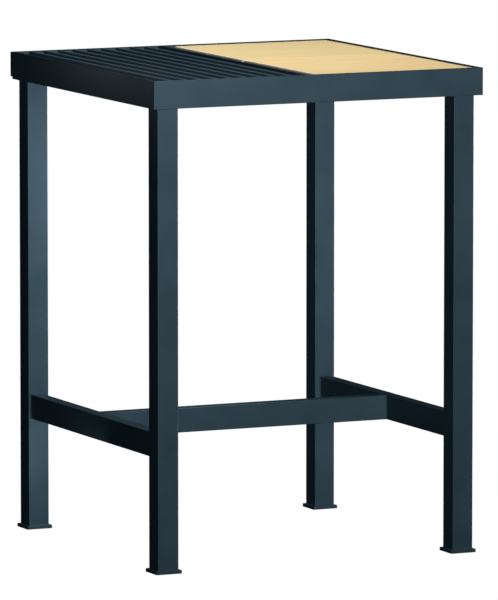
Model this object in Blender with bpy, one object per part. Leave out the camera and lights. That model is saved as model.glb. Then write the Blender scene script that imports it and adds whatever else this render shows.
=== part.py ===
"""Welding table: a shallow flat-bar tray on four square-tube legs tied by an H of stretchers.

The left half of the tray holds a lift-out grate of upright flat bars, the right half holds two
loose fireclay slabs. Metres, +Z up. The origin is on the floor under the middle of the table,
the front faces -Y and the grate lies towards -X.
"""

import math

import bmesh
import bpy
from mathutils import Vector

# Whole table, over the outer faces of the rails
TABLE_WIDTH = 0.650
TABLE_DEPTH = 0.650
TABLE_HEIGHT = 0.885

# Space left between two pieces that are welded together or rest on each other
JOINT_GAP = 0.0003

# Tray rails, flat bars standing on edge; the back one is cut from the narrower ledge stock
RAIL_THICKNESS = 0.008
RAIL_HEIGHT = 0.050
BACK_RAIL_HEIGHT = 0.0455

# Tray ledges, flat bars lying level with the lower edges of the rails
LEDGE_WIDTH = 0.045
LEDGE_THICKNESS = 0.008

# Rolled edges of all flat bars
BAR_EDGE_RADIUS = 0.0006
EDGE_STEPS = 2

# Legs, square tube set in from the outer faces of the rails
LEG_SIZE = 0.040
LEG_WALL = 0.003
LEG_CORNER_RADIUS = 0.0015
LEG_INSET = 0.012

# Plates welded under the legs
FOOT_PLATE_THICKNESS = 0.006
FOOT_PLATE_OVERHANG = 0.005

# Stretchers, rectangular tube on edge; the side ones sit a little inside the legs' outer faces
STRETCHER_WIDTH = 0.025
STRETCHER_HEIGHT = 0.045
STRETCHER_WALL = 0.0025
STRETCHER_CORNER_RADIUS = 0.0012
STRETCHER_TOP = 0.252
STRETCHER_SETBACK = 0.004
CORNER_STEPS = 3

# Lift-out grate: upright flat bars on two square cross bars
GRATE_BAY_WIDTH = 0.321
GRATE_BAR_THICKNESS = 0.008
GRATE_BAR_PITCH = 0.0291
GRATE_LEAST_MARGIN = 0.020
GRATE_CROSS_BAR_SIZE = 0.012
GRATE_CLEARANCE = 0.001

# Loose fireclay slabs, two of them from front to back; their seam lies behind the middle
SLAB_THICKNESS = 0.040
SLAB_CLEARANCE = 0.0015
SLAB_SEAM_SETBACK = 0.014
SLAB_ARRIS_RADIUS = 0.0010

# Finishes, as linear red, green and blue
ANTHRACITE = (0.041, 0.064, 0.086)
GRATE_ANTHRACITE = (0.035, 0.055, 0.074)
FIRECLAY_BEIGE = (0.791, 0.610, 0.323)

# Places that follow from the sizes above
HALF_WIDTH = TABLE_WIDTH / 2
HALF_DEPTH = TABLE_DEPTH / 2
INNER_HALF_WIDTH = HALF_WIDTH - RAIL_THICKNESS
INNER_HALF_DEPTH = HALF_DEPTH - RAIL_THICKNESS
TRAY_UNDERSIDE = TABLE_HEIGHT - RAIL_HEIGHT
LEDGE_TOP = TRAY_UNDERSIDE + LEDGE_THICKNESS
SIDE_LEDGE_HALF_LENGTH = INNER_HALF_DEPTH - LEDGE_WIDTH - JOINT_GAP
SLAB_LEFT = GRATE_BAY_WIDTH - INNER_HALF_WIDTH
LEG_MIDDLE_X = HALF_WIDTH - LEG_INSET - LEG_SIZE / 2
LEG_MIDDLE_Y = HALF_DEPTH - LEG_INSET - LEG_SIZE / 2
SIDE_STRETCHER_X = HALF_WIDTH - LEG_INSET - STRETCHER_SETBACK - STRETCHER_WIDTH / 2
STRETCHER_MIDDLE_Z = STRETCHER_TOP - STRETCHER_HEIGHT / 2


def clear_scene():
    for old in list(bpy.data.objects):
        bpy.data.objects.remove(old, do_unlink=True)


def surface(name, colour, roughness, metallic):
    material = bpy.data.materials.new(name)
    material.use_nodes = True
    shader = material.node_tree.nodes["Principled BSDF"]
    shader.inputs["Base Color"].default_value = (*colour, 1.0)
    shader.inputs["Roughness"].default_value = roughness
    shader.inputs["Metallic"].default_value = metallic
    return material


def frame_coat():
    return surface("frame_powder_coat", ANTHRACITE, roughness=0.48, metallic=0.0)


def grate_coat():
    return surface("grate_powder_coat", GRATE_ANTHRACITE, roughness=0.55, metallic=0.0)


def fireclay():
    return surface("fireclay", FIRECLAY_BEIGE, roughness=0.9, metallic=0.0)


def place(name, shape, middle, material, parent=None, turn=(0.0, 0.0, 0.0)):
    """Makes the finished bmesh an object whose own origin is at its middle."""
    mesh = bpy.data.meshes.new(name)
    shape.normal_update()
    shape.to_mesh(mesh)
    shape.free()
    mesh.materials.append(material)
    piece = bpy.data.objects.new(name, mesh)
    bpy.context.scene.collection.objects.link(piece)
    piece.parent = parent
    piece.location = middle - parent.location if parent else middle
    piece.rotation_euler = turn
    return piece


def lift_point(name, place_at):
    """The empty that a lift-out piece hangs on: it rises along its own Z."""
    empty = bpy.data.objects.new(name, None)
    empty.location = place_at
    bpy.context.scene.collection.objects.link(empty)
    return empty


def solid_bar(name, low, high, material, edge_radius=BAR_EDGE_RADIUS, parent=None):
    """A bar or slab that fills the box from low to high, with its edges rounded."""
    low = Vector(low)
    high = Vector(high)
    shape = bmesh.new()
    bmesh.ops.create_cube(shape, size=1.0)
    bmesh.ops.scale(shape, vec=high - low, verts=shape.verts)
    bar = place(name, shape, (low + high) / 2, material, parent)
    rounding = bar.modifiers.new("rounded_edges", "BEVEL")
    rounding.width = edge_radius
    rounding.segments = EDGE_STEPS
    rounding.limit_method = "NONE"
    return bar


def rounded_outline(width, height, radius):
    """Points round a rectangle whose corners are arcs, turning left."""
    points = []
    for corner in range(4):
        side_x = 1 if corner in (0, 3) else -1
        side_y = 1 if corner in (0, 1) else -1
        centre_x = side_x * (width / 2 - radius)
        centre_y = side_y * (height / 2 - radius)
        for step in range(CORNER_STEPS + 1):
            angle = math.radians(90) * (corner + step / CORNER_STEPS)
            points.append((centre_x + radius * math.cos(angle), centre_y + radius * math.sin(angle)))
    return points


def square_outline(width, height, points_per_corner):
    """The same number of points round a sharp rectangle, bunched evenly along each corner."""
    points = []
    for corner in range(4):
        side_x = 1 if corner in (0, 3) else -1
        side_y = 1 if corner in (0, 1) else -1
        points.extend([(side_x * width / 2, side_y * height / 2)] * points_per_corner)
    return points


def tube(name, width, height, length, wall, radius, middle, material, turn=(0.0, 0.0, 0.0)):
    """An open-ended rectangular tube along its own Z, with rounded outer and sharp inner corners."""
    outer = rounded_outline(width, height, radius)
    inner = square_outline(width - 2 * wall, height - 2 * wall, CORNER_STEPS + 1)
    shape = bmesh.new()
    rings = []
    for outline in (outer, inner):
        for end in (-length / 2, length / 2):
            rings.append([shape.verts.new((x, y, end)) for x, y in outline])
    outer_low, outer_high, inner_low, inner_high = rings
    count = len(outer)
    for index in range(count):
        after = (index + 1) % count
        corners = (
            (outer_low[index], outer_low[after], outer_high[after], outer_high[index]),
            (inner_low[after], inner_low[index], inner_high[index], inner_high[after]),
            (outer_high[index], outer_high[after], inner_high[after], inner_high[index]),
            (outer_low[after], outer_low[index], inner_low[index], inner_low[after]),
        )
        for face in corners:
            shape.faces.new(face)
    bmesh.ops.remove_doubles(shape, verts=shape.verts, dist=JOINT_GAP / 2)
    return place(name, shape, Vector(middle), material, turn=turn)


def make_rails(material):
    """Four flat bars on edge; the front and back ones cover the ends of the side ones."""
    side_half_length = INNER_HALF_DEPTH - JOINT_GAP
    solid_bar(
        "front_rail",
        (-HALF_WIDTH, -HALF_DEPTH, TRAY_UNDERSIDE),
        (HALF_WIDTH, -INNER_HALF_DEPTH, TABLE_HEIGHT),
        material,
    )
    solid_bar(
        "back_rail",
        (-HALF_WIDTH, INNER_HALF_DEPTH, TABLE_HEIGHT - BACK_RAIL_HEIGHT),
        (HALF_WIDTH, HALF_DEPTH, TABLE_HEIGHT),
        material,
    )
    solid_bar(
        "left_rail",
        (-HALF_WIDTH, -side_half_length, TRAY_UNDERSIDE),
        (-INNER_HALF_WIDTH, side_half_length, TABLE_HEIGHT),
        material,
    )
    solid_bar(
        "right_rail",
        (INNER_HALF_WIDTH, -side_half_length, TRAY_UNDERSIDE),
        (HALF_WIDTH, side_half_length, TABLE_HEIGHT),
        material,
    )


def make_ledges(material):
    """Flat bars inside the rails that carry the grate and the slabs, and cover the legs' tops."""
    half_length = INNER_HALF_WIDTH - JOINT_GAP
    outer_y = INNER_HALF_DEPTH - JOINT_GAP
    inner_y = INNER_HALF_DEPTH - LEDGE_WIDTH
    solid_bar(
        "front_ledge",
        (-half_length, -outer_y, TRAY_UNDERSIDE),
        (half_length, -inner_y, LEDGE_TOP),
        material,
    )
    solid_bar(
        "back_ledge",
        (-half_length, inner_y, TRAY_UNDERSIDE),
        (half_length, outer_y, LEDGE_TOP),
        material,
    )
    solid_bar(
        "right_ledge",
        (INNER_HALF_WIDTH - LEDGE_WIDTH, -SIDE_LEDGE_HALF_LENGTH, TRAY_UNDERSIDE),
        (half_length, SIDE_LEDGE_HALF_LENGTH, LEDGE_TOP),
        material,
    )
    solid_bar(
        "centre_bearer",
        (SLAB_LEFT - LEDGE_WIDTH / 2, -SIDE_LEDGE_HALF_LENGTH, TRAY_UNDERSIDE),
        (SLAB_LEFT + LEDGE_WIDTH / 2, SIDE_LEDGE_HALF_LENGTH, LEDGE_TOP),
        material,
    )


def make_leg(corner, side_x, side_y, material):
    """One leg and the plate under it."""
    foot = FOOT_PLATE_THICKNESS + JOINT_GAP
    length = TRAY_UNDERSIDE - JOINT_GAP - foot
    middle_x = side_x * LEG_MIDDLE_X
    middle_y = side_y * LEG_MIDDLE_Y
    tube(
        f"leg_{corner}",
        LEG_SIZE,
        LEG_SIZE,
        length,
        LEG_WALL,
        LEG_CORNER_RADIUS,
        (middle_x, middle_y, foot + length / 2),
        material,
    )
    plate_half = LEG_SIZE / 2 + FOOT_PLATE_OVERHANG
    solid_bar(
        f"foot_plate_{corner}",
        (middle_x - plate_half, middle_y - plate_half, 0.0),
        (middle_x + plate_half, middle_y + plate_half, FOOT_PLATE_THICKNESS),
        material,
    )


def make_legs(material):
    make_leg("front_left", -1, -1, material)
    make_leg("front_right", 1, -1, material)
    make_leg("back_left", -1, 1, material)
    make_leg("back_right", 1, 1, material)


def make_side_stretcher(name, side_x, material):
    """A tube on edge between the front and the back leg of one side."""
    tube(
        name,
        STRETCHER_WIDTH,
        STRETCHER_HEIGHT,
        2 * (LEG_MIDDLE_Y - LEG_SIZE / 2 - JOINT_GAP),
        STRETCHER_WALL,
        STRETCHER_CORNER_RADIUS,
        (side_x * SIDE_STRETCHER_X, 0.0, STRETCHER_MIDDLE_Z),
        material,
        turn=(math.radians(90), 0.0, 0.0),
    )


def make_cross_stretcher(material):
    """The bar of the H, between the two side stretchers."""
    tube(
        "cross_stretcher",
        STRETCHER_WIDTH,
        STRETCHER_HEIGHT,
        2 * (SIDE_STRETCHER_X - STRETCHER_WIDTH / 2 - JOINT_GAP),
        STRETCHER_WALL,
        STRETCHER_CORNER_RADIUS,
        (0.0, 0.0, STRETCHER_MIDDLE_Z),
        material,
        turn=(math.radians(90), 0.0, math.radians(90)),
    )


def make_grate(material):
    """Upright bars, level with the rails, on two cross bars that lie on the front and back ledges."""
    bay_middle = (SLAB_LEFT - INNER_HALF_WIDTH) / 2
    lift = lift_point("grate_lift", Vector((bay_middle, 0.0, LEDGE_TOP)))
    cross_low = LEDGE_TOP + JOINT_GAP
    cross_high = cross_low + GRATE_CROSS_BAR_SIZE
    for name, side_y in (("grate_cross_bar_front", -1), ("grate_cross_bar_back", 1)):
        middle_y = side_y * (INNER_HALF_DEPTH - LEDGE_WIDTH / 2)
        solid_bar(
            name,
            (GRATE_CLEARANCE - INNER_HALF_WIDTH, middle_y - GRATE_CROSS_BAR_SIZE / 2, cross_low),
            (SLAB_LEFT - GRATE_CLEARANCE, middle_y + GRATE_CROSS_BAR_SIZE / 2, cross_high),
            material,
            parent=lift,
        )
    room = GRATE_BAY_WIDTH - 2 * GRATE_LEAST_MARGIN - GRATE_BAR_THICKNESS
    count = math.floor(room / GRATE_BAR_PITCH) + 1
    half_length = INNER_HALF_DEPTH - GRATE_CLEARANCE
    for index in range(count):
        middle_x = bay_middle + (index - (count - 1) / 2) * GRATE_BAR_PITCH
        solid_bar(
            f"grate_bar_{index + 1:02d}",
            (middle_x - GRATE_BAR_THICKNESS / 2, -half_length, cross_high + JOINT_GAP),
            (middle_x + GRATE_BAR_THICKNESS / 2, half_length, TABLE_HEIGHT),
            material,
            parent=lift,
        )


def make_slab(name, low_y, high_y, material):
    """One loose slab, its top a little below the upper edges of the rails."""
    low_z = LEDGE_TOP + JOINT_GAP
    right = INNER_HALF_WIDTH - SLAB_CLEARANCE
    middle = Vector(((SLAB_LEFT + right) / 2, (low_y + high_y) / 2, low_z))
    solid_bar(
        name,
        (SLAB_LEFT, low_y, low_z),
        (right, high_y, low_z + SLAB_THICKNESS),
        material,
        edge_radius=SLAB_ARRIS_RADIUS,
        parent=lift_point(f"{name}_lift", middle),
    )


def make_slabs(material):
    """Two slabs that meet a little behind the middle of the depth."""
    outer_y = INNER_HALF_DEPTH - SLAB_CLEARANCE
    make_slab("slab_front", -outer_y, SLAB_SEAM_SETBACK - SLAB_CLEARANCE / 2, material)
    make_slab("slab_back", SLAB_SEAM_SETBACK + SLAB_CLEARANCE / 2, outer_y, material)


def main():
    clear_scene()
    coat = frame_coat()
    make_rails(coat)
    make_ledges(coat)
    make_legs(coat)
    make_side_stretcher("side_stretcher_left", -1, coat)
    make_side_stretcher("side_stretcher_right", 1, coat)
    make_cross_stretcher(coat)
    make_grate(grate_coat())
    make_slabs(fireclay())


main()
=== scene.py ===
"""Finishes the welding table: coated steelwork, weld seams, fireclay slabs and a plain pale studio.

Everything is in metres, +Z up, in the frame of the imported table: the floor is at Z 0, the front
faces -Y, the grate lies towards -X and the fireclay slabs towards +X.
"""

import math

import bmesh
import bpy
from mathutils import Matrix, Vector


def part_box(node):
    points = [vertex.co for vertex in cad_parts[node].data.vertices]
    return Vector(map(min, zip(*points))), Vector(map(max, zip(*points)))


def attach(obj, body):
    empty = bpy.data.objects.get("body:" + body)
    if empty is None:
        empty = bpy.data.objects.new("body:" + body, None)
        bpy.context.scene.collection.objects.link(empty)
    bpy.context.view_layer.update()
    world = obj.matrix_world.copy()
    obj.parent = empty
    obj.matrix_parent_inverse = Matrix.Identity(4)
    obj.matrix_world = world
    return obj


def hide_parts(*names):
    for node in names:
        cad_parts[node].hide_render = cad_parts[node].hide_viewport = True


bl_info = {
    "name": "Welding Table Finish",
    "version": (1, 0, 0),
    "blender": (4, 5, 0),
    "location": "3D View > Sidebar > Welding Table",
    "description": "Builds the finished steelwork, slabs and studio round the packed table",
    "category": "Object",
}

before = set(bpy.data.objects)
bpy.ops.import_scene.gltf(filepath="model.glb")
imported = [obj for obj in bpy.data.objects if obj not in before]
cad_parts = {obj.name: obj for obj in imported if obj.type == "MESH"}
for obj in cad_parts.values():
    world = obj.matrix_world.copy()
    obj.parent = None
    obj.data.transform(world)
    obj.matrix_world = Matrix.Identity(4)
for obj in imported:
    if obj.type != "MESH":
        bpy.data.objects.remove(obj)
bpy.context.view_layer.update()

FRAME_BODY = "frame"
GRATE_BODY = "grate"
FRAME_SLOT = "frame_coat"
GRATE_SLOT = "grate_coat"
FIRECLAY_SLOT = "fireclay"

# Corners of the table: what stands at the first one is made, and copied to the others
CORNERS = ("front_left", "front_right", "back_left", "back_right")
# The two slabs, and on which side of their seam each lies along Y
SLAB_SIDES = (("front", -1), ("back", 1))

# Axes, as places in a vector
AXES = range(3)
Y = 1
Z = 2

# Two places closer than this are the same, in metres
TOUCHING = 1e-6
# The same for the middle of a face that a slanting cut leaves
ON_FACET = 10 * TOUCHING
# An edge or a normal has at least this share along a direction that it follows
ALONG = 0.999
# The same for a normal of a face that a slanting cut leaves
FACING = 0.99

# How many steps a rounding has
SAWN_STEPS = 1
PLATE_EDGE_STEPS = 2
ROLLED_STEPS = 3
ARRIS_STEPS = 3
PLATE_CORNER_STEPS = 4
TUBE_STEPS = 4
# The bevel tool's profile for a quarter round
QUARTER_ROUND = 0.5

# Faces that meet at less than this are shaded as one, and how far large faces outweigh small ones
SMOOTH_ANGLE = math.radians(35)
LARGE_FACE_WEIGHT = 100

# Where a tube's wall grows from its outer faces: all of it inwards
INWARDS = -1.0

BEAD_SIDES = 10
# How far the tray's corner beads stop short of its upper edge. Ground ones stop at half of it.
CORNER_TRIM = 0.002
# Stitch welds on each ledge in the grate's half, and along the back rail's lower edge
LEDGE_STITCHES = 3
UNDER_STITCHES = 6

# How broad the slabs' waves are, and the shade of their pattern that leaves the face in place
WAVE_SIZE = 0.035
LEVEL_SHADE = 0.5
# How the slabs' broken corners are roughened: cuts across a face, how far its points are thrown,
# how much of that is straight out, and the number that draws them
BREAK_CUTS = 3
BREAK_THROW = 0.6
BREAK_OUTWARD = 1.0
BREAK_SEED = 3

# Socket numbers of a colour Mix node, whose names are shared with its other data types
MIX_FACTOR = 0
MIX_FIRST = 6
MIX_SECOND = 7
MIX_RESULT = 2

# Sizes of the finishes' patterns, in millimetres. Only the flakes are coarser than real ones,
# which are too fine to show.
COAT_DRIFT = 70
COAT_FLAKE = 1.0
ORANGE_PEEL = 2.2
EDGE_SHADING_STREAK = 12
CLAY_CLOUD = 120
PRESS_STREAK = 26
GROG_GRAIN = 1.6
CLAY_PORE = 0.9
BREAK_GRAIN = 1.4

# How streaks are drawn out: front to back on the steel, left to right on the slabs
EDGE_SHADING_STRETCH = (1.0, 0.15, 1.0)
PRESS_STRETCH = (0.12, 1.0, 1.0)

# Depth in metres, and strength, of the finishes' reliefs
PEEL_RELIEF = (0.00006, 0.30)
PORE_RELIEF = (0.00018, 0.6)
BREAK_RELIEF = (0.0005, 0.8)

# The spans that patterns keep to: all there is, the middle that noise seldom leaves, and how far
# a grain reaches from its middle
WHOLE_SPAN = (0.0, 1.0)
NOISE_SPAN = (0.3, 0.7)
GRAIN_SPAN = (0.0, 0.9)

# What the coat's flakes do to its tone, and its drift to its roughness, either way
FLAKE_GAIN = (0.95, 1.05)
GLOSS_DRIFT = 0.03
# Where the painted highlight and shade along upper edges begin and are full, in their depths below
# the edge, and their streaks' span and share
EDGE_SHADING_FADE = (2.0, 0.5)
EDGE_SHADING_SPAN = (0.30, 0.65)
EDGE_SHADING_SHARE = (0.55, 1.0)

# What the fireclay's clouds, streaks and grains do to its tone, and how dull it is
WARM_GAIN = (1.05, 0.97, 0.93)
PALE_GAIN = (0.97, 1.01, 1.03)
STREAK_GAIN = (0.95, 1.04)
GRAIN_GAIN = (1.03, 0.94)
CLAY_ROUGHNESS = 0.93
# How far from its arris a slab's painted highlight is full, in its runs, and from there to the
# run's end
HIGHLIGHT_FULLY = 0.3
HIGHLIGHT_SHARE = (0.8, 0.0)
# Where painted shade is full and ends, in arrises below a slab's top, its share there, and its
# streaks'
SHADE_FADE = (4.5, 1.0)
SHADE_SHARE = (0.95, 0.0)
SHADE_STREAK = (1.0, 0.85)
# The dark parts of a fresh break, against its pale ones, and how dull it is
BREAK_GAIN = (0.86, 0.86, 0.86)
BREAK_ROUGHNESS = 0.95

# What the large soft boxes point at
MIDDLE = (0.000, 0.000, 0.500)
# The studio's round soft boxes: name, where it stands, what it points at, how wide it is, its
# power where it points, whether it casts shadows, and whether it makes the coat shine. The last
# one, for the back, stands too low to graze the tops, and too far right to reach the faces
# towards the left.
SOFT_BOXES = (
    ("right_key_box", (2.318, -0.621, 0.500), MIDDLE, 0.84, 1.009, False, True),
    ("front_left_box", (-0.621, -2.318, 0.500), MIDDLE, 0.84, 0.243, False, True),
    ("front_high_box", (0.314, -2.233, 1.321), MIDDLE, 0.84, 0.257, False, True),
    ("top_box", (-0.070, 0.121, 2.094), MIDDLE, 0.56, 0.636, True, True),
    ("left_rail_lamp", (-0.600, 0.300, 0.920), (-0.325, -0.280, 0.860), 0.20, 0.020, False, True),
    ("far_leg_lamp", (0.100, -0.100, 0.600), (-0.290, 0.270, 0.500), 0.20, 0.420, True, True),
    ("far_foot_lamp", (-0.290, 0.000, 0.120), (-0.290, 0.270, 0.400), 0.20, 0.160, False, True),
    ("back_box", (0.500, 2.400, 0.200), MIDDLE, 0.36, 1.600, False, False),
)


def linear(hex_colour):
    """The linear red, green, blue and alpha of an sRGB colour such as 3A4A55."""
    channels = []
    for place in (0, 2, 4):
        value = int(hex_colour[place:place + 2], 16) / 255
        channels.append(value / 12.92 if value <= 0.04045 else ((value + 0.055) / 1.055) ** 2.4)
    return (*channels, 1.0)


WHITE = linear("FFFFFF")


def tinted(tone, gains):
    """A colour with its red, green and blue each multiplied."""
    return (*(min(1.0, part * gain) for part, gain in zip(tone, gains)), 1.0)


def per_metre(millimetres):
    """The texture scale that repeats a pattern once in so many millimetres."""
    return 1000.0 / millimetres


# Settings that a user would change

def length(name, description, default):
    """A length in metres."""
    return bpy.props.FloatProperty(
        name=name, description=description, default=default, min=0.0,
        subtype="DISTANCE", unit="LENGTH", precision=5)


def share(name, description, default):
    """A share from 0 to 1."""
    return bpy.props.FloatProperty(
        name=name, description=description, default=default, min=0.0, max=1.0, subtype="FACTOR")


def colour(name, description, hex_colour):
    """A colour, given in sRGB and kept linear."""
    return bpy.props.FloatVectorProperty(
        name=name, description=description, default=linear(hex_colour), size=4,
        min=0.0, max=1.0, subtype="COLOR")


def angle(name, description, degrees):
    """An angle, given in degrees."""
    return bpy.props.FloatProperty(
        name=name, description=description, default=math.radians(degrees), subtype="ANGLE",
        unit="ROTATION")


def point(name, description, default):
    """A place in metres."""
    return bpy.props.FloatVectorProperty(
        name=name, description=description, default=default, size=3, subtype="TRANSLATION",
        unit="LENGTH", precision=5)


class SteelSettings(bpy.types.PropertyGroup):
    """Sizes and colours of the coated steelwork."""
    rolled_radius: length("Rolled edge", "Radius of a flat bar's long edges", 0.0009)
    sawn_radius: length("Sawn edge", "Break of a flat bar's sawn ends", 0.0003)
    leg_wall: length("Leg wall", "Wall of the legs' square tube", 0.0030)
    stretcher_wall: length("Stretcher wall", "Wall of the stretchers' tube", 0.0025)
    tube_radius: length("Tube corner", "Outer corner radius of the tubes", 0.0010)
    plate_radius: length("Plate corner", "Corner radius of the foot plates", 0.0020)
    coat: colour("Coat", "Anthracite of the coat", "304854")
    coat_light: colour("Coat, thin", "Where the coat lies thinner", "364F5C")
    # Painted highlight: the lighter colour along the grate bars' upper edges
    rubbed: colour("Highlighted coat", "Where workpieces have rubbed the tops of the bars", "4D616E")
    # Painted shade: the darker colour along the rails' upper edges and the bar beside the slabs
    smoked: colour("Shaded coat", "Where smoke has darkened the upper edges", "0C1216")
    metal_effect: share("Metal effect", "How much of the shine comes from the flakes", 0.6)
    coat_roughness: share("Coat roughness", "Roughness of the satin coat", 0.42)
    # How far down the bars' painted highlight reaches, and the painted shade on the bar beside the
    # slabs
    bar_edge_depth: length("Bar edge depth", "How far down the bars' edges are rubbed", 0.0022)
    # How far down the painted shade on the rails' upper edges reaches
    shaded_depth: length("Shaded depth", "How far down the rails' edges are smoked", 0.0012)


class WeldSettings(bpy.types.PropertyGroup):
    """Sizes of the weld seams under the coat."""
    bead_radius: length("Bead", "Radius of a weld bead", 0.0012)
    ground_radius: length("Ground bead", "Radius of a bead that is ground down", 0.0008)
    tack_radius: length("Tack", "Radius of the short beads under the grate bars", 0.0012)
    ripple: length("Ripple", "Distance between the ripples of a bead", 0.0020)
    stitch: length("Stitch", "Length of one stitch weld along the tray", 0.0300)
    stitch_pitch: length("Stitch pitch", "Distance between the stitch welds", 0.0950)
    ripple_share: share("Ripple waist", "A ripple's waist as a share of its width", 0.86)
    end_share: share("Bead end", "A bead's end as a share of its width", 0.45)


class FireclaySettings(bpy.types.PropertyGroup):
    """Sizes and colours of the fireclay slabs."""
    arris: length("Arris", "Radius of the slabs' pressed edges", 0.0010)
    grid: length("Grid", "Spacing of the points that carry the slab's unevenness", 0.0045)
    unevenness: length("Unevenness", "How far the pressed faces wander", 0.00020)
    chip_run: length("Chip run", "How far the broken corners reach along the seam's sides", 0.0055)
    chip_inset: length("Chip inset", "How far the broken corners reach into the slabs", 0.0035)
    chip_height: length("Chip height", "How far down the broken corners reach", 0.0130)
    front_clay: colour("Front slab", "Fired colour of the front slab", "EFD399")
    back_clay: colour("Back slab", "Fired colour of the back slab", "E6CF96")
    fresh_clay: colour("Fresh break", "Colour of a fresh break", "F6EBD6")
    # Painted shade: the colour that darkens the slabs' sides below their top
    shaded_clay: colour("Shaded clay", "The slabs' sides, dark with smoke", "5A5440")
    # Painted highlight: the paler colour along the slabs' left and outer upper arrises, and how far
    # it reaches
    highlighted_clay: colour("Highlighted clay", "The slabs' upper arrises, rubbed pale", "FBF3E0")
    highlighted_run: length("Highlight run", "How far the rubbed arris reaches into the face", 0.0032)


class StageSettings(bpy.types.PropertyGroup):
    """The studio: floor, light and camera."""
    floor_size: length("Floor", "Side of the square floor", 90.0)
    floor_tone: colour("Floor tone", "What the pale floor reflects of the lamps", "000000")
    floor_glow: share("Floor glow", "The white that the floor gives off itself", 1.0)
    ambient: share("Ambient", "Light from all round that fills the studio", 0.030)
    ambient_tone: colour("Ambient tone", "Cool tone of the light from all round", "CBEDFF")
    backdrop: share("Backdrop", "White that the camera sees beyond the floor", 1.0)
    light_gain: bpy.props.FloatProperty(
        name="Light gain", description="How strong all the soft boxes are", default=1.0, min=0.0)
    camera_azimuth: angle("Azimuth", "How far the camera stands left of the front", 24.7800)
    camera_elevation: angle("Elevation", "How far the camera looks down", 7.0525)
    camera_distance: length("Distance", "From the camera to the middle of the view", 13.8536)
    camera_aim: point("Aim", "Middle of the view", (0.00842, -0.00349, 0.44270))
    camera_lens: bpy.props.FloatProperty(
        name="Lens", description="Focal length", default=453.80, unit="CAMERA")


# Nodes

def feed(tree, node, inputs):
    """Gives each of a node's inputs its value, or links it from the socket given."""
    for name, value in inputs.items():
        if isinstance(value, bpy.types.NodeSocket):
            tree.links.new(value, node.inputs[name])
        else:
            node.inputs[name].default_value = value


def add_node(tree, kind, inputs=None, **settings):
    """Adds one node with its settings and its inputs."""
    node = tree.nodes.new(kind)
    for name, value in settings.items():
        setattr(node, name, value)
    feed(tree, node, inputs or {})
    return node


def noise(tree, place, millimetres, detail, roughness=0.5):
    """A cloudy pattern from 0 to 1."""
    scale = per_metre(millimetres)
    node = add_node(
        tree, "ShaderNodeTexNoise",
        {"Vector": place, "Scale": scale, "Detail": detail, "Roughness": roughness})
    return node.outputs["Fac"]


def grains(tree, place, millimetres):
    """A pattern of grains: each one's own colour, and the distance from its middle."""
    node = add_node(
        tree, "ShaderNodeTexVoronoi", {"Vector": place, "Scale": per_metre(millimetres)})
    return node.outputs["Color"], node.outputs["Distance"]


def stretched(tree, place, scale):
    """Coordinates on which a pattern is drawn out along the axes whose scale is below 1."""
    return add_node(tree, "ShaderNodeMapping", {"Vector": place, "Scale": scale}).outputs["Vector"]


def split(tree, place):
    """The coordinates one by one."""
    return add_node(tree, "ShaderNodeSeparateXYZ", {"Vector": place}).outputs


def ramp(tree, value, span, result):
    """Takes the ends of a value's span to the two results, and holds these beyond it."""
    node = add_node(
        tree, "ShaderNodeMapRange",
        {"Value": value, "From Min": span[0], "From Max": span[1], "To Min": result[0],
         "To Max": result[1]})
    return node.outputs["Result"]


def reckon(tree, operation, *numbers):
    """What an operation of the Math node makes of one or two numbers."""
    return add_node(
        tree, "ShaderNodeMath", dict(enumerate(numbers)), operation=operation).outputs["Value"]


def blend(tree, factor, first, second):
    """A colour that goes from the first to the second as the factor goes from 0 to 1."""
    node = add_node(
        tree, "ShaderNodeMix", {MIX_FACTOR: factor, MIX_FIRST: first, MIX_SECOND: second},
        data_type="RGBA")
    return node.outputs[MIX_RESULT]


def brightened(tree, tone, gain):
    """A colour multiplied by a gain."""
    return add_node(
        tree, "ShaderNodeVectorMath", {"Vector": tone, "Scale": gain},
        operation="SCALE").outputs["Vector"]


def relief(tree, height, depth, strength):
    """The normal of a surface that a pattern raises by a depth in metres."""
    return add_node(
        tree, "ShaderNodeBump",
        {"Height": height, "Distance": depth, "Strength": strength}).outputs["Normal"]


# Materials

def new_material(name):
    """An empty node material: its tree, its shader and the socket of the object's coordinates."""
    material = bpy.data.materials.new(name)
    material.use_nodes = True
    tree = material.node_tree
    shader = tree.nodes["Principled BSDF"]
    return material, tree, shader, add_node(tree, "ShaderNodeTexCoord").outputs["Object"]


def metal_effect_coat(name, steel, edge_shading_colour=None, edge_shading_top=0.0, edge_shading_depth=0.0):
    """Powder coat with metal flakes, sprayed and baked on mild steel.

    It gives the eye a cool satin sheen that falls off to near black on the side away from the
    light, broken by orange peel about two millimetres across, by a fine glitter drawn one
    millimetre coarse so that it shows, and by a slow drift of tone where the coat lies thinner.
    Where an edge shading colour is given, the coat takes it in streaks towards the height
    edge_shading_top: a painted highlight when it is lighter than the coat, painted shade when
    darker.
    """
    material, tree, shader, place = new_material(name)
    drift = noise(tree, place, COAT_DRIFT, detail=3.0, roughness=0.55)
    tone = blend(tree, drift, tuple(steel.coat), tuple(steel.coat_light))
    flakes, _ = grains(tree, place, COAT_FLAKE)
    base = brightened(tree, tone, ramp(tree, flakes, WHOLE_SPAN, FLAKE_GAIN))
    if edge_shading_colour:
        base = paint_edge_shading(tree, place, base, edge_shading_colour, edge_shading_top, edge_shading_depth)
    roughness = steel.coat_roughness
    gloss = ramp(tree, drift, NOISE_SPAN, (roughness - GLOSS_DRIFT, roughness + GLOSS_DRIFT))
    peel = noise(tree, place, ORANGE_PEEL, detail=2.0, roughness=0.4)
    feed(tree, shader, {
        "Base Color": base, "Roughness": gloss, "Metallic": steel.metal_effect,
        "Normal": relief(tree, peel, *PEEL_RELIEF)})
    return material


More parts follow.
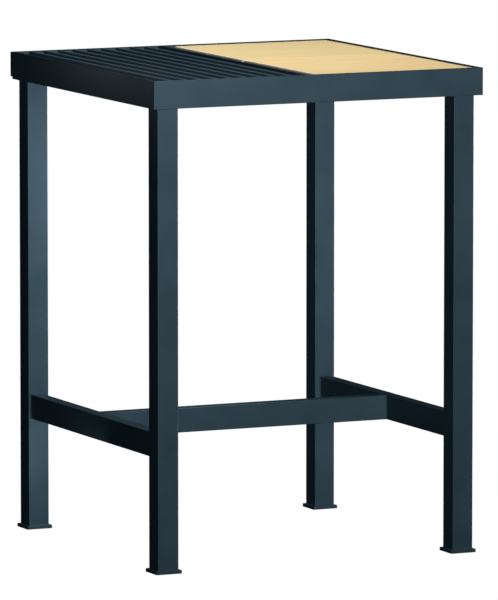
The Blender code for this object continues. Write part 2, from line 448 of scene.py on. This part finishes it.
def paint_edge_shading(tree, place, base, edge_shading_colour, edge_shading_top, edge_shading_depth):
    """The coat's colour with painted light along a bar's or rail's upper edge, in streaks.

    EDGE_SHADING_FADE says where this begins and is full, in depths below the height
    edge_shading_top.
    """
    # Painted light: the edge colour fades in, in streaks, from below the upper edge
    begin, full = (edge_shading_top - depths * edge_shading_depth for depths in EDGE_SHADING_FADE)
    height = ramp(tree, split(tree, place)["Z"], (begin, full), WHOLE_SPAN)
    streaks = noise(
        tree, stretched(tree, place, EDGE_SHADING_STRETCH), EDGE_SHADING_STREAK, detail=4.0, roughness=0.6)
    patches = ramp(tree, streaks, EDGE_SHADING_SPAN, EDGE_SHADING_SHARE)
    return blend(tree, reckon(tree, "MULTIPLY", height, patches), base, edge_shading_colour)


def fireclay(name, fired, low, high, outer_y, clay):
    """Fireclay slab from low to high, dry pressed and fired unglazed.

    It gives the eye a dead matt, sandy face with warm and pale clouds, soft pressing streaks
    from left to right, paler and darker grains of grog, and pores. Its arrises towards the grate
    and the tray's end carry a painted highlight, and its sides carry painted shade.
    """
    material, tree, shader, place = new_material(name)
    clouds = noise(tree, place, CLAY_CLOUD, detail=2.0)
    clouded = blend(tree, clouds, tinted(fired, WARM_GAIN), tinted(fired, PALE_GAIN))
    streaks = noise(tree, stretched(tree, place, PRESS_STRETCH), PRESS_STREAK, detail=3.0)
    streaked = brightened(tree, clouded, ramp(tree, streaks, NOISE_SPAN, STREAK_GAIN))
    _, from_grain = grains(tree, place, GROG_GRAIN)
    grained = brightened(tree, streaked, ramp(tree, from_grain, GRAIN_SPAN, GRAIN_GAIN))
    pores = noise(tree, place, CLAY_PORE, detail=2.0)
    feed(tree, shader, {
        "Base Color": used_slab(tree, place, grained, streaks, low, high, outer_y, clay),
        "Roughness": CLAY_ROUGHNESS, "Normal": relief(tree, pores, *PORE_RELIEF)})
    return material


def used_slab(tree, place, base, streaks, low, high, outer_y, clay):
    """The clay's colour with a painted highlight on its left and outer arrises and painted shade
    down its sides.
    """
    parts = split(tree, place)
    from_left = reckon(tree, "SUBTRACT", parts["X"], low.x)
    from_outer = reckon(tree, "ABSOLUTE", reckon(tree, "SUBTRACT", parts["Y"], outer_y))
    nearest = reckon(tree, "MINIMUM", from_left, from_outer)
    # Painted highlight: paler near the slab's left and outer upper arrises
    arris = ramp(
        tree, nearest, (HIGHLIGHT_FULLY * clay.highlighted_run, clay.highlighted_run), HIGHLIGHT_SHARE)
    rubbed = blend(tree, arris, base, tuple(clay.highlighted_clay))
    # Painted shade: darker down the slab's sides, below its top
    full, end = (high.z - arrises * clay.arris for arrises in SHADE_FADE)
    below = ramp(tree, parts["Z"], (full, end), SHADE_SHARE)
    thinner = ramp(tree, streaks, NOISE_SPAN, SHADE_STREAK)
    shade = reckon(tree, "MULTIPLY", below, thinner)
    return blend(tree, shade, rubbed, tuple(clay.shaded_clay))


def fresh_break(name, tone):
    """A broken fireclay corner: paler than the fired skin, with coarse open grain."""
    material, tree, shader, place = new_material(name)
    grit = noise(tree, place, BREAK_GRAIN, detail=4.0)
    feed(tree, shader, {
        "Base Color": blend(tree, grit, tinted(tone, BREAK_GAIN), tone),
        "Roughness": BREAK_ROUGHNESS, "Normal": relief(tree, grit, *BREAK_RELIEF)})
    return material


def kept_material(name, make, *arguments):
    """The material of that name, made once and shared."""
    return bpy.data.materials.get(name) or make(name, *arguments)


def frame_coat(steel):
    """The coat of the legs, the stretchers and the other steel that has no painted highlight or
    shade.
    """
    return kept_material("anthracite_metal_effect_coat", metal_effect_coat, steel)


def shaded_rail_coat(steel):
    """The coat of the back and side rails, with painted shade along their upper edges."""
    return kept_material(
        "smoked_metal_effect_coat", metal_effect_coat, steel, tuple(steel.smoked),
        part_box("left_rail")[1].z, steel.shaded_depth)


def slab_side_bar_coat(steel):
    """The coat of the grate bar beside the slabs, with painted shade along its upper edge in place
    of the painted highlight.
    """
    return kept_material(
        "smoked_bar_metal_effect_coat", metal_effect_coat, steel, tuple(steel.smoked),
        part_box("grate_bar_01")[1].z, steel.bar_edge_depth)


def grate_coat(steel):
    """The coat of the grate, with a painted highlight along the bars' upper edges."""
    return kept_material(
        "rubbed_metal_effect_coat", metal_effect_coat, steel, tuple(steel.rubbed),
        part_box("grate_bar_01")[1].z, steel.bar_edge_depth)


# Modelling steps

def deselect():
    """Leaves edit mode and selects nothing."""
    if bpy.context.object and bpy.context.object.mode != "OBJECT":
        bpy.ops.object.mode_set(mode="OBJECT")
    bpy.ops.object.select_all(action="DESELECT")


def make_active(piece):
    """Selects a piece and nothing else, for the operators that work on the selection."""
    deselect()
    piece.select_set(True)
    bpy.context.view_layer.objects.active = piece


def set_name(piece, name):
    """Names a piece and its data alike."""
    piece.name = name
    piece.data.name = name


def apply_place():
    """Moves a selected piece's place, turn and scale into its mesh."""
    bpy.ops.object.transform_apply(location=True, rotation=True, scale=True)


def start_box(name, low, high):
    """A box primitive that fills low to high, with its object at the origin."""
    deselect()
    bpy.ops.mesh.primitive_cube_add(size=1.0, location=(low + high) / 2, scale=high - low)
    piece = bpy.context.object
    set_name(piece, name)
    apply_place()
    return piece


def copy_to(piece, name, move):
    """A copy of a piece with its own mesh, moved and applied there."""
    make_active(piece)
    bpy.ops.object.duplicate(linked=False)
    twin = bpy.context.object
    set_name(twin, name)
    bpy.ops.transform.translate(value=move)
    apply_place()
    return twin


def select_parts(piece, kind, wanted):
    """In edit mode, selects the edges, faces or vertices for which wanted(part) is true."""
    make_active(piece)
    bpy.ops.object.mode_set(mode="EDIT")
    bpy.ops.mesh.select_mode(type=kind)
    bpy.ops.mesh.select_all(action="DESELECT")
    shape = bmesh.from_edit_mesh(piece.data)
    parts = {"EDGE": shape.edges, "FACE": shape.faces, "VERT": shape.verts}[kind]
    for part in parts:
        part.select_set(wanted(part))
    shape.select_flush_mode()
    bmesh.update_edit_mesh(piece.data)


def end_edit():
    """Goes back to object mode, which writes the edits into the mesh."""
    bpy.ops.object.mode_set(mode="OBJECT")


def runs_along(edge, axis):
    """Whether an edge lies along that axis."""
    run = edge.verts[1].co - edge.verts[0].co
    return abs(run[axis]) > ALONG * run.length


def lies_at(edge, axis, place):
    """Whether both ends of an edge are at that place along the axis."""
    return all(abs(end.co[axis] - place) < TOUCHING for end in edge.verts)


def round_edges(piece, wanted, radius, steps):
    """Rounds the edges for which wanted(edge) is true."""
    select_parts(piece, "EDGE", wanted)
    bpy.ops.mesh.bevel(offset=radius, segments=steps, affect="EDGES", profile=QUARTER_ROUND)
    end_edit()


def smooth(piece):
    """Shades the small roundings smooth and keeps the large faces between them flat."""
    make_active(piece)
    bpy.ops.object.shade_smooth_by_angle(angle=SMOOTH_ANGLE)
    even = piece.modifiers.new("even", "WEIGHTED_NORMAL")
    even.mode = "FACE_AREA"
    even.weight = LARGE_FACE_WEIGHT
    even.keep_sharp = True
    bpy.ops.object.modifier_apply(modifier=even.name)


def finish_piece(piece, material, body, slot, *nodes):
    """Gives a piece its shading, finish and body, and hides the frame's nodes that it stands for.
    """
    smooth(piece)
    piece.data.materials.clear()
    piece.data.materials.append(material)
    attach(piece, body)
    if nodes:
        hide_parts(*nodes)


def nodes_of(group):
    """The frame's nodes whose names begin so, in order."""
    return sorted(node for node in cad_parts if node.startswith(group))


def longest_axis(low, high):
    """The axis along which it is farthest from low to high."""
    span = high - low
    return max(AXES, key=lambda axis: span[axis])


def flat_bar(name, low, high, steel):
    """A rolled flat or square bar: round long edges and sawn ends with only a broken edge."""
    axis = longest_axis(low, high)
    bar = start_box(name, low, high)
    round_edges(bar, lambda edge: runs_along(edge, axis), steel.rolled_radius, ROLLED_STEPS)
    round_edges(
        bar, lambda edge: lies_at(edge, axis, low[axis]) or lies_at(edge, axis, high[axis]),
        steel.sawn_radius, SAWN_STEPS)
    return bar


def square_tube(name, low, high, wall, radius):
    """A welded square or rectangular tube with open ends, rounded outer and sharp inner corners."""
    axis = longest_axis(low, high)
    tube = start_box(name, low, high)
    select_parts(tube, "FACE", lambda face: abs(face.normal[axis]) > ALONG)
    bpy.ops.mesh.delete(type="ONLY_FACE")
    end_edit()
    shell = tube.modifiers.new("wall", "SOLIDIFY")
    shell.thickness = wall
    shell.offset = INWARDS
    shell.use_even_offset = True
    bpy.ops.object.modifier_apply(modifier=shell.name)
    middle = (low + high) / 2
    half = (high - low) / 2
    across = [other for other in AXES if other != axis]

    def is_outer_corner(edge):
        spot = (edge.verts[0].co + edge.verts[1].co) / 2
        outside = all(
            abs(abs(spot[other] - middle[other]) - half[other]) < TOUCHING for other in across)
        return runs_along(edge, axis) and outside

    round_edges(tube, is_outer_corner, radius, TUBE_STEPS)
    return tube


def weld_bead(name, start, end, radius, weld):
    """One rippled bead from start to end, along an axis: a rod with every second ring drawn in."""
    run = end - start
    axis = longest_axis(start, end)
    waists = max(2, round(run.length / weld.ripple))
    step = run.length / (2 * waists)
    deselect()
    bpy.ops.mesh.primitive_cylinder_add(
        vertices=BEAD_SIDES, radius=radius, depth=run.length, location=(start + end) / 2,
        rotation=run.to_track_quat("Z", "Y").to_euler())
    bead = bpy.context.object
    set_name(bead, name)
    apply_place()
    select_parts(bead, "EDGE", lambda edge: runs_along(edge, axis))
    bpy.ops.mesh.subdivide(number_cuts=2 * waists - 1)
    end_edit()

    def ring(corner):
        return round((corner.co[axis] - start[axis]) / step)

    draw_in(bead, lambda corner: ring(corner) % 2 == 0, start, axis, weld.ripple_share)
    draw_in(bead, lambda corner: ring(corner) in (0, 2 * waists), start, axis, weld.end_share)
    return bead


def draw_in(rod, wanted, middle, axis, width):
    """Draws the chosen rings of a straight rod in towards its middle line."""
    select_parts(rod, "VERT", wanted)
    narrower = [width for _ in AXES]
    narrower[axis] = 1.0
    bpy.ops.transform.resize(value=narrower, center_override=middle)
    end_edit()


def join(name, pieces):
    """Joins the pieces into one named object."""
    make_active(pieces[0])
    for piece in pieces:
        piece.select_set(True)
    bpy.ops.object.join()
    whole = bpy.context.object
    set_name(whole, name)
    return whole


def bead_ring(name, low, high, axis, place, radius, weld):
    """Four beads round a tube's end: round the box low to high, at that place along the axis."""
    beads = []
    for across in (other for other in AXES if other != axis):
        for side in (low[across], high[across]):
            start = Vector(low)
            end = Vector(high)
            start[axis] = end[axis] = place
            start[across] = end[across] = side
            beads.append(weld_bead(name, start, end, radius, weld))
    return join(name, beads)


# Pieces

class WELDTABLE_OT_tray(bpy.types.Operator):
    """Build the tray: four rails on edge and the flat bars inside them"""
    bl_idname = "weldtable.tray"
    bl_label = "Build Tray"
    bl_options = {"REGISTER", "UNDO"}

    def execute(self, context):
        steel = context.scene.weldtable_steel
        # The back and side rails get painted shade along their upper edges; the others keep the
        # even coat
        evenly_coated = ("front_rail", "front_ledge", "back_ledge", "right_ledge", "centre_bearer")
        smoked = ("back_rail", "left_rail", "right_rail")
        for nodes, coat in ((evenly_coated, frame_coat(steel)), (smoked, shaded_rail_coat(steel))):
            for node in nodes:
                bar = flat_bar(f"rolled_{node}", *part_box(node), steel)
                finish_piece(bar, coat, FRAME_BODY, FRAME_SLOT, node)
        return {"FINISHED"}


class WELDTABLE_OT_legs(bpy.types.Operator):
    """Build the four tube legs and the plates under them"""
    bl_idname = "weldtable.legs"
    bl_label = "Build Legs"
    bl_options = {"REGISTER", "UNDO"}

    def execute(self, context):
        steel = context.scene.weldtable_steel
        coat = frame_coat(steel)
        first, *others = CORNERS
        leg_low, leg_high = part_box(f"leg_{first}")
        leg = square_tube(
            f"tube_leg_{first}", leg_low, leg_high, steel.leg_wall, steel.tube_radius)
        plate_low, plate_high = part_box(f"foot_plate_{first}")
        plate = start_box(f"cut_foot_plate_{first}", plate_low, plate_high)
        round_edges(
            plate, lambda edge: runs_along(edge, Z), steel.plate_radius, PLATE_CORNER_STEPS)
        round_edges(
            plate, lambda edge: lies_at(edge, Z, plate_high.z), steel.sawn_radius,
            PLATE_EDGE_STEPS)
        legs = {first: leg}
        plates = {first: plate}
        for corner in others:
            legs[corner] = copy_to(
                leg, f"tube_leg_{corner}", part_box(f"leg_{corner}")[0] - leg_low)
            plates[corner] = copy_to(
                plate, f"cut_foot_plate_{corner}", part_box(f"foot_plate_{corner}")[0] - plate_low)
        for corner in CORNERS:
            finish_piece(legs[corner], coat, FRAME_BODY, FRAME_SLOT, f"leg_{corner}")
            finish_piece(plates[corner], coat, FRAME_BODY, FRAME_SLOT, f"foot_plate_{corner}")
        return {"FINISHED"}


class WELDTABLE_OT_stretchers(bpy.types.Operator):
    """Build the H of rectangular tubes between the legs"""
    bl_idname = "weldtable.stretchers"
    bl_label = "Build Stretchers"
    bl_options = {"REGISTER", "UNDO"}

    def execute(self, context):
        steel = context.scene.weldtable_steel
        coat = frame_coat(steel)
        for node in ("side_stretcher_left", "side_stretcher_right", "cross_stretcher"):
            tube = square_tube(
                f"tube_{node}", *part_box(node), steel.stretcher_wall, steel.tube_radius)
            finish_piece(tube, coat, FRAME_BODY, FRAME_SLOT, node)
        return {"FINISHED"}


class WELDTABLE_OT_grate(bpy.types.Operator):
    """Build the lift-out grate: upright flat bars on two square cross bars"""
    bl_idname = "weldtable.grate"
    bl_label = "Build Grate"
    bl_options = {"REGISTER", "UNDO"}

    def execute(self, context):
        steel = context.scene.weldtable_steel
        # The bar beside the slabs gets painted shade along its upper edge instead of the painted
        # highlight
        beside_slabs = max(nodes_of("grate_bar_"), key=lambda node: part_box(node)[0].x)
        for group, kind in (("grate_bar_", "upright"), ("grate_cross_bar_", "square")):
            nodes = nodes_of(group)
            low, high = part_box(nodes[0])
            first = flat_bar(f"{kind}_{nodes[0]}", low, high, steel)
            bars = [first]
            for node in nodes[1:]:
                bars.append(copy_to(first, f"{kind}_{node}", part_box(node)[0] - low))
            for node, bar in zip(nodes, bars):
                coat = slab_side_bar_coat(steel) if node == beside_slabs else grate_coat(steel)
                finish_piece(bar, coat, GRATE_BODY, GRATE_SLOT, node)
        return {"FINISHED"}


class WELDTABLE_OT_welds(bpy.types.Operator):
    """Lay the weld beads at the legs, the stretchers, the tray and the grate"""
    bl_idname = "weldtable.welds"
    bl_label = "Lay Welds"
    bl_options = {"REGISTER", "UNDO"}

    def execute(self, context):
        weld = context.scene.weldtable_weld
        steel = context.scene.weldtable_steel
        for seam in (*self.leg_seams(weld), *self.stretcher_seams(weld), *self.tray_seams(weld)):
            finish_piece(seam, frame_coat(steel), FRAME_BODY, FRAME_SLOT)
        finish_piece(self.grate_tacks(weld), grate_coat(steel), GRATE_BODY, GRATE_SLOT)
        return {"FINISHED"}

    def leg_seams(self, weld):
        """Rings of bead round the four legs, on the foot plates and under the tray."""
        first, *others = CORNERS
        low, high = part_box(f"leg_{first}")
        foot = bead_ring("foot_seam", low, high, Z, low.z, weld.ground_radius, weld)
        head = bead_ring("head_seam", low, high, Z, high.z, weld.ground_radius, weld)
        feet = [foot]
        heads = [head]
        for corner in others:
            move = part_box(f"leg_{corner}")[0] - low
            feet.append(copy_to(foot, "foot_seam_copy", move))
            heads.append(copy_to(head, "head_seam_copy", move))
        return join("foot_plate_seams", feet), join("leg_head_seams", heads)

    def stretcher_seams(self, weld):
        """Rings of bead at the side stretchers' ends, upright beads at the cross stretcher's."""
        low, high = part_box("side_stretcher_left")
        ring = bead_ring("side_seam", low, high, Y, low.y, weld.bead_radius, weld)
        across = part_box("side_stretcher_right")[0].x - low.x
        deep = high.y - low.y
        ends = [ring]
        for move in ((across, 0, 0), (0, deep, 0), (across, deep, 0)):
            ends.append(copy_to(ring, "side_seam_copy", move))
        cross_low, cross_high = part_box("cross_stretcher")
        trim = Vector((0, 0, weld.bead_radius))
        uprights = []
        for x in (cross_low.x, cross_high.x):
            for y in (cross_low.y, cross_high.y):
                start = Vector((x, y, cross_low.z)) + trim
                end = Vector((x, y, cross_high.z)) - trim
                uprights.append(weld_bead("cross_seam", start, end, weld.bead_radius, weld))
        return join("side_stretcher_seams", ends), join("cross_stretcher_seams", uprights)

    def tray_seams(self, weld):
        """Corner seams of the tray, ground flush outside, and stitches along its ledges."""
        left_low, left_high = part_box("left_rail")
        right_low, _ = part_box("right_rail")
        front_low, front_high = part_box("front_rail")
        back_low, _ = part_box("back_rail")
        _, ledge_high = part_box("front_ledge")
        trim = Vector((0, 0, CORNER_TRIM))
        corners = []
        flush = []
        for x, out_x in ((left_high.x, left_low.x), (right_low.x, front_high.x)):
            ground_x = out_x + math.copysign(weld.ground_radius, -out_x)
            for y, low_z in ((front_high.y, front_low.z), (back_low.y, back_low.z)):
                corners.append(weld_bead(
                    "corner_bead", Vector((x, y, ledge_high.z)),
                    Vector((x, y, front_high.z)) - trim, weld.bead_radius, weld))
                flush.append(weld_bead(
                    "flush_bead", Vector((ground_x, y, low_z)) + trim / 2,
                    Vector((ground_x, y, front_high.z)) - trim / 2, weld.ground_radius, weld))
        return (
            join("tray_corner_seams", corners), join("ground_corner_seams", flush),
            self.tray_stitches(weld))

    def tray_stitches(self, weld):
        """Short beads on the ledges in the grate's half, and along the back rail's lower edge."""
        _, front_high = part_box("front_rail")
        back_low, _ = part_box("back_rail")
        _, ledge_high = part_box("front_ledge")
        start = Vector((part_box("grate_bar_01")[0].x, front_high.y, ledge_high.z))
        first = weld_bead(
            "stitch", start, Vector((start.x + weld.stitch, start.y, start.z)),
            weld.bead_radius, weld)
        to_back = back_low.y - front_high.y
        moves = [
            (run * weld.stitch_pitch, to_rail, 0)
            for run in range(LEDGE_STITCHES) for to_rail in (0, to_back)]
        under = (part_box("back_ledge")[1].y - front_high.y, back_low.z - ledge_high.z)
        moves += [(run * weld.stitch_pitch, *under) for run in range(UNDER_STITCHES)]
        # The first move is none, and the first stitch already stands there
        copies = [copy_to(first, "stitch_copy", move) for move in moves[1:]]
        return join("tray_stitches", [first, *copies])

    def grate_tacks(self, weld):
        """Short beads on both sides of every grate bar, where it stands on a cross bar."""
        bars = nodes_of("grate_bar_")
        bar_low, bar_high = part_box(bars[0])
        cross_low, cross_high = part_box("grate_cross_bar_front")
        back_low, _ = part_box("grate_cross_bar_back")
        pair = []
        for x in (bar_low.x, bar_high.x):
            pair.append(weld_bead(
                "tack", Vector((x, cross_low.y, cross_high.z)),
                Vector((x, cross_high.y, cross_high.z)), weld.tack_radius, weld))
        first = join("tack_pair", pair)
        tacks = [first]
        for node in bars:
            for y in (cross_low.y, back_low.y):
                move = Vector((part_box(node)[0].x - bar_low.x, y - cross_low.y, 0))
                if move.length > TOUCHING:
                    tacks.append(copy_to(first, "tack_copy", move))
        return join("grate_tacks", tacks)


class WELDTABLE_OT_slabs(bpy.types.Operator):
    """Build the two loose fireclay slabs, each with a corner broken off at the seam"""
    bl_idname = "weldtable.slabs"
    bl_label = "Build Slabs"
    bl_options = {"REGISTER", "UNDO"}

    def execute(self, context):
        clay = context.scene.weldtable_fireclay
        fired = {"front": tuple(clay.front_clay), "back": tuple(clay.back_clay)}
        broken = kept_material("broken_fireclay", fresh_break, tuple(clay.fresh_clay))
        for side, direction in SLAB_SIDES:
            node = f"slab_{side}"
            low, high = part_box(node)
            outer_y, seam_y = (low.y, high.y) if direction < 0 else (high.y, low.y)
            slab = self.pressed_slab(f"pressed_{node}", low, high, clay)
            finish = kept_material(
                f"pressed_fireclay_{side}", fireclay, fired[side], low, high, outer_y, clay)
            finish_piece(slab, finish, node, FIRECLAY_SLOT, node)
            self.break_corner(slab, Vector((low.x, seam_y, high.z)), direction, clay, broken)
        return {"FINISHED"}

    def pressed_slab(self, name, low, high, clay):
        """A slab with rounded arrises whose faces wander a little, inside its node's box."""
        slack = Vector([clay.unevenness for _ in AXES])
        slab = start_box(name, low + slack, high - slack)
        round_edges(slab, lambda edge: True, clay.arris, ARRIS_STEPS)
        for axis in AXES:
            select_parts(
                slab, "EDGE",
                lambda edge: runs_along(edge, axis) and edge.calc_length() > 2 * clay.arris)
            cuts = round((high - low)[axis] / clay.grid)
            bpy.ops.mesh.subdivide(number_cuts=max(1, cuts))
            end_edit()
        pattern = bpy.data.textures.new(f"{name}_wander", "CLOUDS")
        pattern.noise_scale = WAVE_SIZE
        wander = slab.modifiers.new("wander", "DISPLACE")
        wander.texture = pattern
        wander.strength = 2 * clay.unevenness
        wander.mid_level = LEVEL_SHADE
        make_active(slab)
        bpy.ops.object.modifier_apply(modifier=wander.name)
        return slab

    def break_corner(self, slab, corner, direction, clay, broken):
        """Breaks the slab's upper corner off along a rough facet."""
        slab.data.materials.append(broken)
        inner = corner + Vector((clay.chip_inset, 0, 0))
        side = corner + Vector((0, direction * clay.chip_run, 0))
        foot = corner - Vector((0, 0, clay.chip_height))
        facet = (side - inner).cross(foot - inner).normalized()
        if facet.dot(corner - inner) < 0:
            facet.negate()
        select_parts(slab, "FACE", lambda face: True)
        bpy.ops.mesh.bisect(
            plane_co=inner, plane_no=facet, use_fill=True, clear_outer=True, clear_inner=False)
        shape = bmesh.from_edit_mesh(slab.data)
        for face in shape.faces:
            middle = face.calc_center_median()
            on_facet = abs((middle - inner).dot(facet)) < ON_FACET
            face.select_set(on_facet and face.normal.dot(facet) > FACING)
            if face.select:
                face.material_index = slab.data.materials.find(broken.name)
        bmesh.update_edit_mesh(slab.data)
        bpy.ops.mesh.poke()
        bpy.ops.mesh.subdivide(
            number_cuts=BREAK_CUTS, fractal=BREAK_THROW, fractal_along_normal=BREAK_OUTWARD,
            seed=BREAK_SEED)
        end_edit()


class WELDTABLE_OT_stage(bpy.types.Operator):
    """Build the studio: a plain pale floor, soft lights and the camera"""
    bl_idname = "weldtable.stage"
    bl_label = "Build Stage"
    bl_options = {"REGISTER", "UNDO"}

    def execute(self, context):
        stage = context.scene.weldtable_stage
        self.floor(stage)
        self.world(context, stage)
        for box in SOFT_BOXES:
            self.soft_box(stage, *box)
        self.camera(context, stage)
        context.scene.view_settings.view_transform = "Standard"
        return {"FINISHED"}

    def floor(self, stage):
        """A pale floor that gives off its own white.

        It reflects nothing, as a lamp near it would overexpose it and eat into the outlines of
        the legs before it.
        """
        deselect()
        bpy.ops.mesh.primitive_plane_add(size=stage.floor_size)
        floor = bpy.context.object
        floor.name = "floor"
        material, tree, shader, _ = new_material("pale_floor")
        feed(tree, shader, {
            "Base Color": tuple(stage.floor_tone), "Specular IOR Level": 0.0,
            "Emission Color": WHITE, "Emission Strength": stage.floor_glow})
        floor.data.materials.append(material)
        floor.visible_diffuse = False
        floor.visible_glossy = False

    def world(self, context, stage):
        """Faint light from all round, and a plain white backdrop beyond the floor."""
        world = bpy.data.worlds.new("studio")
        context.scene.world = world
        world.use_nodes = True
        tree = world.node_tree
        ambient = tree.nodes["Background"]
        feed(tree, ambient, {"Color": tuple(stage.ambient_tone), "Strength": stage.ambient})
        backdrop = add_node(
            tree, "ShaderNodeBackground", {"Color": WHITE, "Strength": stage.backdrop})
        rays = add_node(tree, "ShaderNodeLightPath")
        seen = add_node(
            tree, "ShaderNodeMixShader",
            {0: rays.outputs["Is Camera Ray"], 1: ambient.outputs["Background"],
             2: backdrop.outputs["Background"]})
        feed(tree, tree.nodes["World Output"], {"Surface": seen.outputs["Shader"]})

    def soft_box(self, stage, name, place, target, width, power, casts_shadow, shines):
        """A round soft box; its power is what it gives at its target, whatever its distance."""
        out = Vector(place) - Vector(target)
        deselect()
        bpy.ops.object.light_add(
            type="AREA", location=place, rotation=out.to_track_quat("Z", "Y").to_euler())
        box = bpy.context.object
        set_name(box, name)
        box.data.shape = "DISK"
        box.data.size = width
        box.data.energy = (math.pi * out.length) ** 2 * power * stage.light_gain
        box.data.use_shadow = casts_shadow
        box.visible_camera = False
        box.visible_glossy = shines

    def direction(self, azimuth, elevation):
        """From the table towards a place that far round from the front to the left, and up."""
        return Vector((
            -math.sin(azimuth) * math.cos(elevation),
            -math.cos(azimuth) * math.cos(elevation),
            math.sin(elevation)))

    def camera(self, context, stage):
        """A long lens that looks at the table as the photo does."""
        back = self.direction(stage.camera_azimuth, stage.camera_elevation)
        deselect()
        bpy.ops.object.camera_add(location=Vector(stage.camera_aim) + back * stage.camera_distance)
        camera = bpy.context.object
        camera.name = "camera"
        camera.rotation_euler = (-back).to_track_quat("-Z", "Y").to_euler()
        camera.data.lens = stage.camera_lens
        camera.data.clip_end = stage.floor_size
        context.scene.camera = camera


class WELDTABLE_PT_panel(bpy.types.Panel):
    """Lists the steps that build the table's finish"""
    bl_label = "Welding Table"
    bl_idname = "WELDTABLE_PT_panel"
    bl_space_type = "VIEW_3D"
    bl_region_type = "UI"
    bl_category = "Welding Table"

    def draw(self, context):
        column = self.layout.column(align=True)
        for operator in OPERATORS:
            column.operator(operator.bl_idname)
        for group, place in GROUPS:
            box = self.layout.box()
            for name in group.__annotations__:
                box.prop(getattr(context.scene, place), name)


OPERATORS = (
    WELDTABLE_OT_tray,
    WELDTABLE_OT_legs,
    WELDTABLE_OT_stretchers,
    WELDTABLE_OT_grate,
    WELDTABLE_OT_welds,
    WELDTABLE_OT_slabs,
    WELDTABLE_OT_stage,
)
GROUPS = (
    (SteelSettings, "weldtable_steel"),
    (WeldSettings, "weldtable_weld"),
    (FireclaySettings, "weldtable_fireclay"),
    (StageSettings, "weldtable_stage"),
)


def register():
    for group, place in GROUPS:
        bpy.utils.register_class(group)
        setattr(bpy.types.Scene, place, bpy.props.PointerProperty(type=group))
    for operator in OPERATORS:
        bpy.utils.register_class(operator)
    bpy.utils.register_class(WELDTABLE_PT_panel)


def unregister():
    bpy.utils.unregister_class(WELDTABLE_PT_panel)
    for operator in reversed(OPERATORS):
        bpy.utils.unregister_class(operator)
    for group, place in reversed(GROUPS):
        delattr(bpy.types.Scene, place)
        bpy.utils.unregister_class(group)


def main():
    register()
    bpy.ops.weldtable.tray()
    bpy.ops.weldtable.legs()
    bpy.ops.weldtable.stretchers()
    bpy.ops.weldtable.grate()
    bpy.ops.weldtable.welds()
    bpy.ops.weldtable.slabs()
    bpy.ops.weldtable.stage()


if __name__ == "__main__":
    main()
